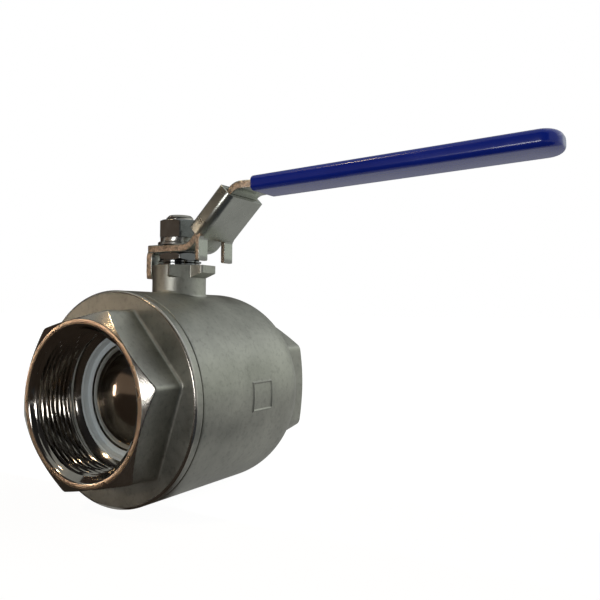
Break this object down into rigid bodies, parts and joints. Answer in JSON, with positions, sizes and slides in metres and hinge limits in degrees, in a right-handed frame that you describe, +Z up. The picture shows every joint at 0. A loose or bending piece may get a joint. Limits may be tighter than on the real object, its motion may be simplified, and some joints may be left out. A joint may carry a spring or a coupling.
{
  "type": "ball valve with locking lever",
  "caption": "Quarter-turn floating ball valve in two body pieces, with threaded ends, hexagon wrench ends and a bent lever with a dipped grip and a sliding lock.",
  "frame": {"origin": "on the pipe axis, where the full thread of the cap-side port begins", "axes": "+Y along the pipe from the cap-side port to the body-side port; +Z up the stem; +X the way the closed lever points"},
  "size_m": [0.319, 0.171, 0.2136],
  "materials": {
    "cast_steel": "satin",
    "polished_steel": "mirror",
    "bright_steel": "turned",
    "dark_steel": "satin",
    "sheet_steel": "rolled",
    "ptfe": "smooth",
    "black_rubber": "matt",
    "blue_vinyl": "gloss"
  },
  "bodies": {
    "valve_body": {"body": "cast_steel", "end_cap": "cast_steel", "body_gasket": "ptfe", "seat_ring_cap": "ptfe", "seat_ring_body": "ptfe", "thrust_washer": "ptfe", "packing_lower": "ptfe", "packing_middle": "ptfe", "packing_upper": "ptfe", "gland_follower": "bright_steel"},
    "ball": {"ball": "polished_steel"},
    "handle": {"stem": "bright_steel", "stem_o_ring": "black_rubber", "disc_spring_lower": "dark_steel", "disc_spring_upper": "dark_steel", "packing_nut": "dark_steel", "lever": "sheet_steel", "grip_sleeve": "blue_vinyl", "plain_washer": "bright_steel", "spring_washer": "dark_steel", "handle_nut": "dark_steel"},
    "lock": {"lock_slide": "sheet_steel"}
  },
  "joints": [
    {"name": "lever_turn", "type": "hinge", "parent": "valve_body", "child": "handle", "pos_m": [0, 0.081, 0.09], "axis": [0, 0, 1], "range_deg": [0, 90]},
    {"name": "ball_turn", "type": "hinge", "parent": "valve_body", "child": "ball", "pos_m": [0, 0.081, 0], "axis": [0, 0, 1], "range_deg": [0, 90]},
    {"name": "lock_travel", "type": "slide", "parent": "handle", "child": "lock", "axis": [-0.7071, 0, -0.7071], "range_m": [0, 0.0095]}
  ],
  "couplings": [
    {"joint": "ball_turn", "follows": "lever_turn", "ratio": 1}
  ]
}
